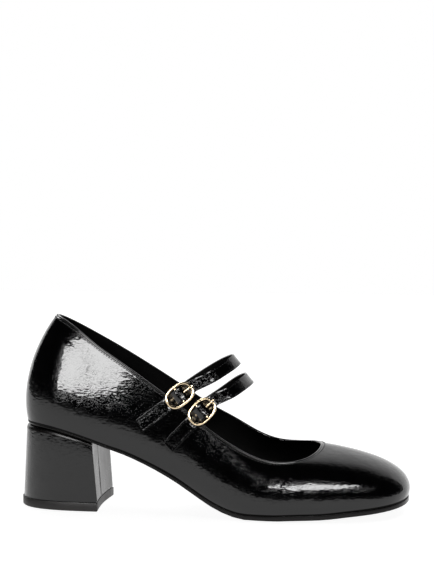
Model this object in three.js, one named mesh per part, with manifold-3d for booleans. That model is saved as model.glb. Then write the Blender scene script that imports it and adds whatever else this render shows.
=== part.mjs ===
// A right mary jane shoe on a block heel, with two narrow buckled straps over the instep.
// Millimetres. +X runs from heel to toe, -Y is the outer (little toe) side, +Z is up, and the shoe
// stands on z = 0 on its top piece and the tread of its forefoot.
// The form follows the last: a seat line round the bottom, a topline round the opening, and ribs
// between them. The sole, insole, heel, straps and buckles are all placed from those two lines.
import * as THREE from 'three';
import { mergeVertices } from 'three/addons/utils/BufferGeometryUtils.js';
import Module from 'manifold-3d';

const wasm = await Module();
wasm.setup();

// ---- driving dimensions ------------------------------------------------------------------------
const LENGTH = 240; // heel to toe, over the upper
const BALL_HALF = 40; // half the width at the ball
const HEEL_HEIGHT = 50; // floor to the underside of the seat
const BACK_HEIGHT = 118.7; // floor to the top of the back
const WALL = 1.6; // leather and lining of the upper
const INSOLE = 2.5; // insole with its sock
const LIFT = 5.4; // thickness of the top piece
const GAP = 0.3; // clearance between neighbouring solids

const STRAP_WIDTH = 7.5;
const STRAP_THICK = 1.4;
const CHAPE_WIDTH = 8.2;
const CHAPE_THICK = 0.9;
const RING_LONG = 18.4; // outside length of a buckle
const RING_WIDE = 13.2; // outside width of a buckle
const WIRE = 0.85; // radius of the buckle's wire
const BAR = 0.7; // radius of its centre bar
const PRONG = 0.45; // radius of its prong
const AIR = 0.25; // clearance between the layers of a buckle, and round its prong
const SNUG = 0.2; // clearance of what is wrapped round the bar

const AROUND = 84; // ribs round the upper
const RISE = 14; // rows from seat to topline
const STATIONS = 52; // sections along the sole
const HEEL_ROWS = 14; // rows from the heel's back to its front
const HEEL_COLUMNS = 6; // and from its outer side to its inner side
const STRAP_STEPS = 52;
const CHAPE_STEPS = 36;
const RING_STEPS = 36;
const PRONG_STEPS = 14;

// ---- tables ------------------------------------------------------------------------------------
function table(columns, rows) {
  const names = columns.split(' ');
  return rows.map((row) => Object.fromEntries(row.map((value, i) => [names[i], value])));
}

// The sole from heel to toe. along is in % of LENGTH, under (height of the underside) in % of
// HEEL_HEIGHT, and thick (the sole's own thickness) in mm.
const SOLE_ROWS = table('along under thick', [
  [-2, 101, 1.2],
  [4, 101, 1.2],
  [9, 98.6, 1.2],
  [14, 93.2, 1.2],
  [19, 86, 1.2],
  [24, 77.4, 1.4],
  [28.5, 70.2, 1.6],
  [34.5, 57.6, 2.0],
  [40.8, 41.6, 2.6],
  [47.2, 22.6, 2.9],
  [50.4, 13.6, 3.0],
  [53.6, 6.6, 3.1],
  [56.7, 2.0, 3.2],
  [59.6, 0, 3.2],
  [65.8, 0, 3.3],
  [72, 1.2, 3.4],
  [78.6, 2.1, 3.4],
  [85, 4.8, 3.3],
  [91.2, 7.4, 3.2],
  [97.5, 11, 2.9],
  [101, 13.4, 2.8],
]);

// The ribs, from the middle of the back along the outer side to the toe and home along the inner
// side. seatX and topX are in % of LENGTH, seatY and topY in % of BALL_HALF, topZ in % of
// BACK_HEIGHT. The handles that bend a rib are in mm: belly leaves the seat, lip leaves the topline.
const RIBS = table('seatX seatY topX topY topZ bellyOut bellyUp lipOut lipDown', [
  [1.3, 0, 9.1, 0, 100, 4.8, 22, 15, 19],
  [3.1, -36, 10.3, -18, 99.4, 4.8, 22, 14, 19],
  [7.8, -57, 14.2, -36, 95.6, 4.5, 21, 10, 20],
  [15.5, -65, 20.4, -47, 86.5, 4.5, 19, 5, 20],
  [26, -64.5, 28, -55, 76.5, 4.5, 17, 3, 18],
  [36, -66, 36, -60.5, 65.6, 4.5, 15, 3, 16],
  [45, -72, 43.5, -65.5, 54.9, 4.5, 13, 3, 14],
  [54, -85, 50.3, -70.5, 44.5, 4.5, 12, 4, 12],
  [62, -96, 57.2, -75.5, 36, 3.5, 11, 5, 10],
  [69, -99, 63.6, -76, 30.4, 3, 11, 7, 8],
  [76, -95.5, 68.6, -72, 28.9, 3, 11, 10, 6],
  [83.5, -86, 72.6, -61.5, 29.5, 3.2, 12, 14, 5],
  [90.2, -73, 75.2, -44, 30.9, 4, 14, 19, 4.5],
  [95.6, -52, 76.6, -24, 32.4, 4.8, 16, 25, 4.5],
  [98.6, -22, 77.2, -5, 33.7, 5.6, 18, 28, 4.5],
  [99.5, 12, 77.1, 10, 34.3, 6, 18.5, 30, 4.5],
  [98.6, 45, 76.3, 26, 34.1, 5.4, 18, 27, 6],
  [95.2, 70, 74.6, 42, 33.6, 4.6, 16, 22, 7],
  [89.6, 86, 71.4, 57, 32.8, 3.6, 14, 16, 7],
  [83, 94.5, 67.6, 67.5, 32.4, 3, 13, 12, 8],
  [75.6, 97.5, 63.8, 73, 33.5, 3, 12, 8, 9],
  [68, 93, 59.4, 74.5, 37.1, 3, 12, 6, 11],
  [60, 80, 54, 73.5, 43.3, 3.5, 13, 4, 13],
  [51, 64, 47.5, 69.5, 50.5, 5, 15, 3, 15],
  [42, 53, 40.4, 65, 60.1, 6, 17, 3, 17],
  [32.5, 53, 32, 60, 71.2, 6, 19, 3, 18],
  [23.5, 59.5, 24.4, 54, 80.8, 5.5, 20, 3, 19],
  [14.5, 64, 18, 46.5, 88.5, 4.5, 21, 5, 20],
  [7.6, 57, 13.2, 35, 94.4, 4.8, 21, 10, 20],
  [3.1, 36, 10.2, 18, 98.3, 4.8, 22, 14, 19],
]);

// ---- curves ------------------------------------------------------------------------------------
// A closed curve through knots with smooth curvature: the cyclic cubic spline, solved by sweeps.
function closedSpline(knots, values) {
  const n = values.length;
  const span = knots.map((k, i) => (i + 1 < n ? knots[i + 1] - k : 1 - k));
  const slope = values.map((v, i) => (values[(i + 1) % n] - v) / span[i]);
  const bend = new Array(n).fill(0);
  for (let sweep = 0; sweep < 60; sweep++) {
    for (let i = 0; i < n; i++) {
      const before = (i + n - 1) % n;
      const after = (i + 1) % n;
      const pull = 6 * (slope[i] - slope[before]);
      bend[i] = (pull - span[before] * bend[before] - span[i] * bend[after]) / (2 * (span[before] + span[i]));
    }
  }
  return (s) => {
    const u = ((s % 1) + 1) % 1;
    let i = n - 1;
    while (knots[i] > u) i--;
    const after = (i + 1) % n;
    const a = span[i] - (u - knots[i]);
    const b = u - knots[i];
    const cubic = (bend[i] * a ** 3 + bend[after] * b ** 3) / (6 * span[i]);
    const left = (values[i] / span[i] - (bend[i] * span[i]) / 6) * a;
    const right = (values[after] / span[i] - (bend[after] * span[i]) / 6) * b;
    return cubic + left + right;
  };
}

// An open curve that never overshoots its table, so a level stretch stays level.
function levelCurve(xs, ys) {
  const slope = xs.slice(1).map((x, i) => (ys[i + 1] - ys[i]) / (x - xs[i]));
  const lean = xs.map((_, i) => {
    if (i === 0 || i === xs.length - 1) return slope[Math.min(i, slope.length - 1)];
    if (slope[i - 1] * slope[i] <= 0) return 0;
    return (2 * slope[i - 1] * slope[i]) / (slope[i - 1] + slope[i]);
  });
  return (x) => {
    let i = 0;
    while (i < xs.length - 2 && x > xs[i + 1]) i++;
    const h = xs[i + 1] - xs[i];
    const t = Math.min(Math.max((x - xs[i]) / h, 0), 1);
    const ends = (1 + 2 * t) * (1 - t) ** 2 * ys[i] + t * t * (3 - 2 * t) * ys[i + 1];
    return ends + h * t * (1 - t) * ((1 - t) * lean[i] - t * lean[i + 1]);
  };
}

const soleX = SOLE_ROWS.map((row) => (row.along * LENGTH) / 100);
const underside = levelCurve(soleX, SOLE_ROWS.map((row) => (row.under * HEEL_HEIGHT) / 100));
const soleThick = levelCurve(soleX, SOLE_ROWS.map((row) => row.thick));
const soleTop = (x) => underside(x) + soleThick(x);

// Knots spaced by the mean distance between ribs along the seat and along the topline.
function ribKnots() {
  const point = (row) => [
    (row.seatX * LENGTH) / 100, (row.seatY * BALL_HALF) / 100,
    (row.topX * LENGTH) / 100, (row.topY * BALL_HALF) / 100, (row.topZ * BACK_HEIGHT) / 100,
  ];
  const steps = RIBS.map((row, i) => {
    const a = point(row);
    const b = point(RIBS[(i + 1) % RIBS.length]);
    const seat = Math.hypot(b[0] - a[0], b[1] - a[1]);
    return seat + Math.hypot(b[2] - a[2], b[3] - a[3], b[4] - a[4]);
  });
  const whole = steps.reduce((sum, step) => sum + step, 0);
  let run = 0;
  return steps.map((step) => {
    const knot = run / whole;
    run += step;
    return knot;
  });
}

const knots = ribKnots();
const along = (column, scale) => closedSpline(knots, RIBS.map((row) => row[column] * scale));
const seatX = along('seatX', LENGTH / 100);
const seatY = along('seatY', BALL_HALF / 100);
const topX = along('topX', LENGTH / 100);
const topY = along('topY', BALL_HALF / 100);
const topZ = along('topZ', BACK_HEIGHT / 100);
const bellyOut = along('bellyOut', 1);
const bellyUp = along('bellyUp', 1);
const lipOut = along('lipOut', 1);
const lipDown = along('lipDown', 1);

// Horizontal direction square to a plan curve, away from the foot.
function outward(fx, fy, s) {
  const step = 1e-3;
  const dx = fx(s + step) - fx(s - step);
  const dy = fy(s + step) - fy(s - step);
  return new THREE.Vector3(-dy, dx, 0).normalize().negate();
}

// The outer face of the upper: s goes round from 0 to 1, t climbs from the seat to the topline.
function upperPoint(s, t) {
  const seat = new THREE.Vector3(seatX(s), seatY(s), 0);
  seat.z = soleTop(seat.x) + GAP;
  const top = new THREE.Vector3(topX(s), topY(s), topZ(s));
  const belly = seat.clone().addScaledVector(outward(seatX, seatY, s), bellyOut(s));
  belly.z += bellyUp(s);
  const lip = top.clone().addScaledVector(outward(topX, topY, s), lipOut(s));
  lip.z -= lipDown(s);
  const weights = [(1 - t) ** 3, 3 * t * (1 - t) ** 2, 3 * t * t * (1 - t), t ** 3];
  return [seat, belly, lip, top].reduce(
    (sum, point, i) => sum.addScaledVector(point, weights[i]), new THREE.Vector3());
}

function upperNormal(s, t) {
  const step = 2e-3;
  const level = THREE.MathUtils.clamp(t, step, 1 - step);
  const round = upperPoint(s + step, level).sub(upperPoint(s - step, level));
  const climb = upperPoint(s, level + step).sub(upperPoint(s, level - step));
  return round.cross(climb).normalize();
}

// ---- mesh helpers ------------------------------------------------------------------------------
function meshGeometry(points, faces) {
  const position = new Float32Array(points.length * 3);
  points.forEach((point, i) => point.toArray(position, i * 3));
  const geometry = new THREE.BufferGeometry();
  geometry.setAttribute('position', new THREE.BufferAttribute(position, 3));
  geometry.setIndex(faces.flat());
  return outsideOut(geometry);
}

// Makes one closed mesh from corners listed three by three.
function weld(corners) {
  const geometry = new THREE.BufferGeometry().setFromPoints(corners);
  return outsideOut(mergeVertices(geometry, 1e-4));
}

// Turns a closed mesh so that its faces point out.
function outsideOut(geometry) {
  const index = geometry.index.array;
  const at = (i) => new THREE.Vector3().fromBufferAttribute(geometry.attributes.position, index[i]);
  let volume = 0;
  for (let i = 0; i < index.length; i += 3) volume += at(i).dot(at(i + 1).cross(at(i + 2)));
  if (volume < 0) {
    for (let i = 0; i < index.length; i += 3) [index[i], index[i + 1]] = [index[i + 1], index[i]];
  }
  return geometry;
}

// Joins rings of equal size into a skin. A loop runs back to its first ring, and an open loft is
// closed by a fan at each end.
function loft(rings, loop = false) {
  const size = rings[0].length;
  const points = rings.flat();
  const faces = [];
  const last = loop ? rings.length : rings.length - 1;
  for (let r = 0; r < last; r++) {
    const a = r * size;
    const b = ((r + 1) % rings.length) * size;
    for (let i = 0; i < size; i++) {
      const j = (i + 1) % size;
      faces.push([a + i, a + j, b + j], [a + i, b + j, b + i]);
    }
  }
  if (!loop) {
    for (const [ring, start, turn] of [[rings[0], 0, 1], [rings.at(-1), (rings.length - 1) * size, 0]]) {
      const middle = ring.reduce((sum, p) => sum.add(p), new THREE.Vector3()).divideScalar(size);
      points.push(middle);
      for (let i = 0; i < size; i++) {
        const j = (i + 1) % size;
        const hub = points.length - 1;
        faces.push(turn ? [start + j, start + i, hub] : [start + i, start + j, hub]);
      }
    }
  }
  return meshGeometry(points, faces);
}

function toSolid(geometry) {
  const bare = new THREE.BufferGeometry();
  bare.setAttribute('position', geometry.attributes.position);
  bare.setIndex(geometry.index);
  const merged = mergeVertices(bare, 1e-4);
  const mesh = new wasm.Mesh({
    numProp: 3,
    vertProperties: new Float32Array(merged.attributes.position.array),
    triVerts: new Uint32Array(merged.index.array),
  });
  return new wasm.Manifold(mesh);
}

function fromSolid(solid) {
  const mesh = solid.getMesh();
  const geometry = new THREE.BufferGeometry();
  geometry.setAttribute('position', new THREE.BufferAttribute(new Float32Array(mesh.vertProperties), 3));
  geometry.setIndex([...mesh.triVerts]);
  return geometry;
}

// ---- upper -------------------------------------------------------------------------------------
// One wall between the outer face and the same face moved in by WALL, open at the top and below.
function makeUpper() {
  const rings = [];
  for (let row = 0; row <= RISE; row++) {
    const t = row / RISE;
    rings.push(Array.from({ length: AROUND }, (_, i) => upperPoint(i / AROUND, t)));
  }
  for (let row = RISE; row >= 0; row -= 2) {
    const t = row / RISE;
    rings.push(Array.from({ length: AROUND }, (_, i) => {
      const s = i / AROUND;
      return upperPoint(s, t).addScaledVector(upperNormal(s, t), -WALL);
    }));
  }
  return loft(rings, true);
}

// ---- sole, insole, heel ------------------------------------------------------------------------
// The seat line moved sideways by grow mm, as pairs of y values at each x.
function seatOutline(grow) {
  const fine = Array.from({ length: 720 }, (_, i) => {
    const s = i / 720;
    const out = outward(seatX, seatY, s);
    const reach = grow(seatX(s));
    return new THREE.Vector2(seatX(s) + out.x * reach, seatY(s) + out.y * reach);
  });
  const xs = fine.map((p) => p.x);
  const toe = xs.indexOf(Math.max(...xs));
  const heel = xs.indexOf(Math.min(...xs));
  const walk = (start, stop) => {
    const side = [];
    for (let i = start; ; i = (i + 1) % fine.length) {
      side.push(fine[i]);
      if (i === stop) return side;
    }
  };
  const reader = (side) => (x) => {
    const rising = side[0].x < side.at(-1).x ? side : [...side].reverse();
    const i = Math.max(rising.findIndex((p) => p.x >= x), 1);
    const [a, b] = [rising[i - 1], rising[i]];
    const t = Math.min(Math.max((x - a.x) / (b.x - a.x || 1), 0), 1);
    return a.y + t * (b.y - a.y);
  };
  return {
    back: fine[heel].x,
    front: fine[toe].x,
    outer: reader(walk(heel, toe)),
    inner: reader(walk(toe, heel)),
  };
}

// A slab between two heights, made of sections across the shoe that bunch up at the round ends.
// edge is a list of insets and levels (0 underside, 1 top side) that shape the edge.
function slab(outline, lowAt, highAt, edge) {
  const rings = [];
  for (let k = 0; k <= STATIONS; k++) {
    const share = (1 - Math.cos((Math.PI * (k + 0.35)) / (STATIONS + 0.7))) / 2;
    const x = outline.back + share * (outline.front - outline.back);
    const middle = (outline.outer(x) + outline.inner(x)) / 2;
    const half = (outline.inner(x) - outline.outer(x)) / 2;
    const section = (side) => edge.map(([inset, level]) => {
      const z = lowAt(x) + level * (highAt(x) - lowAt(x));
      return new THREE.Vector3(x, middle + side * Math.max(half - inset, half * 0.5), z);
    });
    rings.push([...section(-1), ...section(1).reverse()]);
  }
  return loft(rings);
}

// The sole's edge stands a little outside the seat line, and is drawn in as a groove over the heel.
const SOLE_EDGE = 0.2;
const HEEL_GROOVE = -1.5;
const GROOVE_FROM = 0.16 * LENGTH;
const GROOVE_TO = 0.3 * LENGTH;
function soleGrow(x) {
  const share = THREE.MathUtils.clamp((x - GROOVE_FROM) / (GROOVE_TO - GROOVE_FROM), 0, 1);
  return THREE.MathUtils.lerp(HEEL_GROOVE, SOLE_EDGE, share);
}

function makeOutsole() {
  const edge = [[9, 0], [2.5, 0.04], [0, 0.16], [0, 1]];
  return slab(seatOutline(soleGrow), underside, soleTop, edge);
}

function makeInsole() {
  const low = (x) => soleTop(x) + GAP;
  const high = (x) => low(x) + INSOLE;
  const edge = [[0, 0], [0, 0.7], [0.5, 1]];
  return slab(seatOutline(() => -WALL - 0.5), low, high, edge);
}

// The heel grows longer and narrower from the sole down to the top piece, and its front is hollow.
const HEEL_FRONT_TOP = 48.2;
const HEEL_FRONT_FOOT = 51;
const HEEL_BACK_FOOT = -0.1;
const HEEL_FOOT_WIDTH = 0.94; // width at the foot as a share of the width at the top
const HEEL_PROUD = 0.7; // how far the heel's top stands outside the seat line
const BREAST_HOLLOW = 1.4;

const heelOutline = seatOutline(() => HEEL_PROUD);
const heelShares = Array.from({ length: HEEL_ROWS + 1 }, (_, k) => (
  1 - Math.cos(((Math.PI / 2) * (k + 0.25)) / (HEEL_ROWS + 0.25))));

// A point of the heel in plan. level runs from 0 at the foot to 1 at the sole, share from the back
// to the front, and across from the outer side to the inner. swell moves the whole side outward.
function heelPoint(level, share, across, swell) {
  const x0 = heelOutline.back + share * (HEEL_FRONT_TOP - heelOutline.back);
  const width = THREE.MathUtils.lerp(HEEL_FOOT_WIDTH, 1, level);
  const outer = heelOutline.outer(x0) * width - swell;
  const inner = heelOutline.inner(x0) * width + swell;
  const back = THREE.MathUtils.lerp(HEEL_BACK_FOOT, heelOutline.back, level) - swell;
  const front = THREE.MathUtils.lerp(HEEL_FRONT_FOOT, HEEL_FRONT_TOP, level) + swell;
  const hollow = BREAST_HOLLOW * share ** 4 * Math.sin(Math.PI * across);
  const x = THREE.MathUtils.lerp(back, front, share) - hollow;
  return new THREE.Vector3(x, THREE.MathUtils.lerp(outer, inner, across), 0);
}

// Walls and caps of a heel-shaped block from its layers, lowest first.
function heelForm(layers) {
  const grid = (layer) => heelShares.map((share) => Array.from({ length: HEEL_COLUMNS + 1 }, (_, c) => {
    const p = heelPoint(layer.level, share, c / HEEL_COLUMNS, layer.swell);
    return p.setZ(layer.height(p.x));
  }));
  const rim = (g) => [
    ...g.map((row) => row[0]).reverse(),
    ...g[0].slice(1, -1),
    ...g.map((row) => row.at(-1)),
    ...g.at(-1).slice(1, -1).reverse(),
  ];
  const grids = layers.map(grid);
  const triangles = [];
  const quad = (a, b, c, d) => triangles.push(a, b, c, a, c, d);
  for (let i = 0; i + 1 < grids.length; i++) {
    const [low, high] = [rim(grids[i]), rim(grids[i + 1])];
    low.forEach((p, k) => {
      const next = (k + 1) % low.length;
      quad(p, low[next], high[next], high[k]);
    });
  }
  for (const [g, flip] of [[grids[0], true], [grids.at(-1), false]]) {
    for (let r = 0; r + 1 < g.length; r++) {
      for (let c = 0; c < HEEL_COLUMNS; c++) {
        const ring = [g[r][c], g[r + 1][c], g[r + 1][c + 1], g[r][c + 1]];
        quad(...(flip ? ring : ring.reverse()));
      }
    }
  }
  return weld(triangles);
}

function makeHeelBlock() {
  const foot = LIFT + GAP;
  const roof = (x) => underside(x) - GAP;
  const shape = [[0, 0], [0.3, 0], [0.65, 0], [0.95, 0], [0.985, -0.3], [1, -1]];
  return heelForm(shape.map(([level, swell]) => ({
    level, swell, height: (x) => THREE.MathUtils.lerp(foot, roof(x), level),
  })));
}

function makeTopPiece() {
  const shape = [[0, 0], [0.5, 0.5], [LIFT - 0.3, 0.5], [LIFT, 0.3]];
  return heelForm(shape.map(([z, swell]) => ({ level: 0, swell, height: () => z })));
}

// ---- straps and buckles ------------------------------------------------------------------------
// Where the outer side of the upper passes through a given x and z.
function onOuterSide(x, z) {
  let [s, t] = [0.2, 0.8];
  const step = 1e-4;
  for (let turn = 0; turn < 40; turn++) {
    const p = upperPoint(s, t);
    const ds = upperPoint(s + step, t).sub(p).divideScalar(step);
    const dt = upperPoint(s, t + step).sub(p).divideScalar(step);
    const det = ds.x * dt.z - dt.x * ds.z;
    const [ex, ez] = [x - p.x, z - p.z];
    s += THREE.MathUtils.clamp((ex * dt.z - dt.x * ez) / det, -0.03, 0.03);
    t += THREE.MathUtils.clamp((ds.x * ez - ex * ds.z) / det, -0.2, 0.2);
  }
  return { point: upperPoint(s, t), normal: upperNormal(s, t) };
}

// A flat band through points, each with the direction of its width.
function band(points, widths, width, thick, steps) {
  const path = new THREE.CatmullRomCurve3(points, false, 'centripetal');
  const marks = new THREE.CatmullRomCurve3(widths, false, 'centripetal');
  const chamfer = 0.3;
  const rings = [];
  for (let k = 0; k <= steps; k++) {
    const u = k / steps;
    const place = path.getPoint(u);
    const tangent = path.getTangent(u);
    const across = marks.getPoint(u);
    across.addScaledVector(tangent, -across.dot(tangent)).normalize();
    const up = new THREE.Vector3().crossVectors(tangent, across);
    const [w, h] = [width / 2, thick / 2];
    const corners = [
      [-w + chamfer, -h], [w - chamfer, -h], [w, -h + chamfer], [w, h - chamfer],
      [w - chamfer, h], [-w + chamfer, h], [-w, h - chamfer], [-w, -h + chamfer],
    ];
    rings.push(corners.map(([a, b]) => place.clone().addScaledVector(across, a).addScaledVector(up, b)));
  }
  return loft(rings);
}

// A round wire through points.
function wire(points, radius, steps, loop = false, sides = 8) {
  const path = new THREE.CatmullRomCurve3(points, loop, 'centripetal');
  const frames = path.computeFrenetFrames(steps, loop);
  const rings = [];
  for (let k = 0; k < (loop ? steps : steps + 1); k++) {
    const place = path.getPointAt(k / steps);
    rings.push(Array.from({ length: sides }, (_, i) => {
      const turn = (2 * Math.PI * i) / sides;
      return place.clone()
        .addScaledVector(frames.normals[k], radius * Math.cos(turn))
        .addScaledVector(frames.binormals[k], radius * Math.sin(turn));
    }));
  }
  return loft(rings, loop);
}

// Heights, in a buckle's own frame, of what is stacked on the bar and under the ring's ends.
const UNDER_END = -(WIRE + AIR + STRAP_THICK / 2);
const OVER_BAR = BAR + SNUG + CHAPE_THICK + AIR + STRAP_THICK / 2;
const CHAPE_LEVEL = UNDER_END - STRAP_THICK / 2 - AIR - CHAPE_THICK / 2;
const RING_STAND = -(CHAPE_LEVEL - CHAPE_THICK / 2 - GAP); // ring's plane above the quarter
const RING_END = RING_LONG / 2 - WIRE;
const WRAP = BAR + SNUG + CHAPE_THICK / 2; // radius of the chape's fold round the bar

// One row for each strap. foot is the lower end of its chape and bar the middle of its buckle, both
// as x and z on the outer side. crest is the strap's highest point. home is where it passes the
// inner topline and tail its sewn end inside.
const STRAPS = {
  rear: {
    chapeFoot: [78.2, 53.7], topline: [99, 69.4], bar: [102.5, 72.4],
    route: table('x y z wx wy wz', [
      [118.6, -24, 82.1, -0.52, 0.24, 0.82],
      [126, -17.6, 86.3, -0.55, 0.14, 0.82],
      [131.2, -9, 89.6, -0.6, 0.06, 0.8],
      [133.2, 1, 91.4, -0.64, 0, 0.77],
      [130.6, 11, 90.3, -0.62, -0.06, 0.78],
      [122, 19, 85.8, -0.6, -0.12, 0.79],
      [109.4, 23, 77.8, -0.58, -0.16, 0.8],
      [99.4, 23, 70.8, -0.58, -0.16, 0.8],
      [89, 22.8, 63, -0.58, -0.12, 0.8],
    ]),
  },
  front: {
    chapeFoot: [95.7, 41.5], topline: [112.8, 59.4], bar: [116.2, 62.8],
    route: table('x y z wx wy wz', [
      [130.2, -24.6, 73.2, -0.52, 0.24, 0.82],
      [135.8, -18, 76.2, -0.55, 0.14, 0.82],
      [139.6, -9, 78.6, -0.6, 0.06, 0.8],
      [141.2, 1, 79.9, -0.64, 0, 0.77],
      [139, 11, 79, -0.62, -0.06, 0.78],
      [132.4, 19.6, 75.2, -0.6, -0.12, 0.79],
      [122.4, 24, 67.8, -0.58, -0.16, 0.8],
      [113.6, 24.8, 61.6, -0.58, -0.16, 0.8],
      [103.6, 24.4, 54, -0.58, -0.12, 0.8],
    ]),
  },
};

// A buckle's frame: along the strap, across it, and out from the quarter, with the bar at the origin.
function buckleFrame(strap) {
  const edge = onOuterSide(...strap.topline);
  const aim = new THREE.Vector3(strap.bar[0] - strap.chapeFoot[0], 0, strap.bar[1] - strap.chapeFoot[1]);
  const out = edge.normal.clone();
  const ahead = aim.addScaledVector(out, -aim.dot(out)).normalize();
  const across = new THREE.Vector3().crossVectors(out, ahead);
  const reach = Math.hypot(strap.bar[0] - edge.point.x, strap.bar[1] - edge.point.z);
  const origin = edge.point.clone().addScaledVector(ahead, reach).addScaledVector(out, RING_STAND);
  return {
    across,
    place: (u, h, w = 0) => origin.clone()
      .addScaledVector(ahead, u).addScaledVector(out, h).addScaledVector(across, w),
  };
}

function prongPath(frame) {
  const curl = BAR + SNUG + PRONG;
  const bent = [200, 165, 130, 95].map((angle) => {
    const a = THREE.MathUtils.degToRad(angle);
    return frame.place(curl * Math.cos(a), curl * Math.sin(a));
  });
  const rest = WIRE + AIR + PRONG;
  const reach = [[3, curl], [6, rest], [RING_END, rest], [RING_END + 1.7, rest - 0.5]];
  return [...bent, ...reach.map(([u, h]) => frame.place(u, h))];
}

// The way that a strap and a chape leave free for the prong.
function prongHole(frame) {
  return toSolid(wire(prongPath(frame), PRONG + AIR, PRONG_STEPS, false, 6));
}

function makeStrap(strap) {
  const frame = buckleFrame(strap);
  const buckled = [
    [-RING_END - 2.2, UNDER_END + 0.3], [-RING_END, UNDER_END], [-6.2, UNDER_END + 0.4], [-4, 0.2],
    [-2.1, OVER_BAR - 0.6], [0, OVER_BAR], [2.1, OVER_BAR - 0.6], [4, 0.2],
    [6.2, UNDER_END + 0.4], [RING_END, UNDER_END], [RING_END + 2, UNDER_END],
  ].map(([u, h]) => frame.place(u, h));
  const route = strap.route.map((row) => new THREE.Vector3(row.x, row.y, row.z));
  const routeWidths = strap.route.map((row) => new THREE.Vector3(row.wx, row.wy, row.wz));
  const points = [...buckled, ...route];
  const widths = [...buckled.map(() => frame.across), ...routeWidths];
  const whole = toSolid(band(points, widths, STRAP_WIDTH, STRAP_THICK, STRAP_STEPS));
  return fromSolid(whole.subtract(prongHole(frame)));
}

function makeChape(strap) {
  const frame = buckleFrame(strap);
  const sewn = [];
  const lies = 1.6 * GAP + CHAPE_THICK / 2; // its middle above the quarter
  for (const share of [0, 0.25, 0.5, 0.75]) {
    const x = THREE.MathUtils.lerp(strap.chapeFoot[0], strap.topline[0], share);
    const z = THREE.MathUtils.lerp(strap.chapeFoot[1], strap.topline[1], share);
    const spot = onOuterSide(x, z);
    sewn.push(spot.point.addScaledVector(spot.normal, lies));
  }
  const fold = [-90, -45, 0, 45, 90, 135].map((angle) => {
    const a = THREE.MathUtils.degToRad(angle);
    return frame.place(WRAP * Math.cos(a), WRAP * Math.sin(a));
  });
  const points = [...sewn, frame.place(-4.6, CHAPE_LEVEL + 0.5), ...fold];
  const whole = toSolid(band(points, points.map(() => frame.across), CHAPE_WIDTH, CHAPE_THICK, CHAPE_STEPS));
  return fromSolid(whole.subtract(prongHole(frame)));
}

function makeBuckle(strap) {
  const frame = buckleFrame(strap);
  const [long, wide] = [RING_END, RING_WIDE / 2 - WIRE];
  const squareness = 2.6; // 2 is an ellipse, more is squarer
  const oval = Array.from({ length: 24 }, (_, i) => {
    const a = (2 * Math.PI * i) / 24;
    const corner = (v) => Math.sign(v) * Math.abs(v) ** (2 / squareness);
    return frame.place(long * corner(Math.cos(a)), 0, wide * corner(Math.sin(a)));
  });
  const ring = toSolid(wire(oval, WIRE, RING_STEPS, true));
  const barPath = [-wide, 0, wide].map((w) => frame.place(0, 0, w));
  const bar = toSolid(wire(barPath, BAR, 2));
  return fromSolid(ring.add(bar));
}

function makeProng(strap) {
  return wire(prongPath(buckleFrame(strap)), PRONG, PRONG_STEPS, false, 6);
}

// ---- assembly ----------------------------------------------------------------------------------
const patent = new THREE.MeshStandardMaterial({ color: 0x0b0b0c, roughness: 0.12, metalness: 0 });
const rubber = new THREE.MeshStandardMaterial({ color: 0x1c1a19, roughness: 0.7, metalness: 0 });
const lining = new THREE.MeshStandardMaterial({ color: 0x101010, roughness: 0.6, metalness: 0 });
const gold = new THREE.MeshStandardMaterial({ color: 0xd9b878, roughness: 0.18, metalness: 1 });

const shoe = new THREE.Group();
function add(name, geometry, material) {
  const mesh = new THREE.Mesh(geometry, material);
  mesh.name = name;
  shoe.add(mesh);
}

add('upper', makeUpper(), patent);
add('outsole', makeOutsole(), rubber);
add('insole', makeInsole(), lining);
add('heel_block', makeHeelBlock(), patent);
add('top_piece', makeTopPiece(), rubber);
for (const [side, strap] of Object.entries(STRAPS)) {
  add(`strap_${side}`, makeStrap(strap), patent);
  add(`chape_${side}`, makeChape(strap), patent);
  add(`buckle_${side}`, makeBuckle(strap), gold);
  add(`prong_${side}`, makeProng(strap), gold);
}

// The origin is the middle of the shoe's box, on the floor.
const box = new THREE.Box3().setFromObject(shoe, true);
const middle = box.getCenter(new THREE.Vector3());
shoe.position.set(-middle.x, -middle.y, -box.min.z);

export default shoe;
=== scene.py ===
"""A black patent mary jane on a block heel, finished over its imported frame."""

import math

import bmesh
import bpy
import numpy as np
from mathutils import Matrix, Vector, noise
from mathutils.bvhtree import BVHTree


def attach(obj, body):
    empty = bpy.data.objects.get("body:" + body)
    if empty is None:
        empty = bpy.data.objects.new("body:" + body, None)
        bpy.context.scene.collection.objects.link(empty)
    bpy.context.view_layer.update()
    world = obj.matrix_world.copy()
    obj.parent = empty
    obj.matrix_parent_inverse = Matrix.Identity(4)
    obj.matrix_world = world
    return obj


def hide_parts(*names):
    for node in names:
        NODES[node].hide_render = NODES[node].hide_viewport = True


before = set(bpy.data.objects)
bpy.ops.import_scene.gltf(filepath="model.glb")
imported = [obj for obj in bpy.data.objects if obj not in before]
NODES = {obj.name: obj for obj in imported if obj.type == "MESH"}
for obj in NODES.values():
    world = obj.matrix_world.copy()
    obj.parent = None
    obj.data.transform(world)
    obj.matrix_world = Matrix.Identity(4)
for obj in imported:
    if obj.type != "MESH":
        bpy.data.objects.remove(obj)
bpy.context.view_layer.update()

bl_info = {
    "name": "Patent Mary Jane",
    "version": (1, 0, 0),
    "blender": (4, 5, 0),
    "location": "View3D > Sidebar > Shoe",
    "description": "Finishes a patent mary jane over its frame: leather, straps, buckles, heel and stage",
    "category": "Object",
}

MM = 0.001
MERGE = 1e-6  # corners closer than this, in metres, are one


# ---- sizes and colours ----
def length(name, description, default_mm):
    return bpy.props.FloatProperty(
        name=name, description=description, default=default_mm * MM, unit="LENGTH", min=0.0, precision=5)


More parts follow.
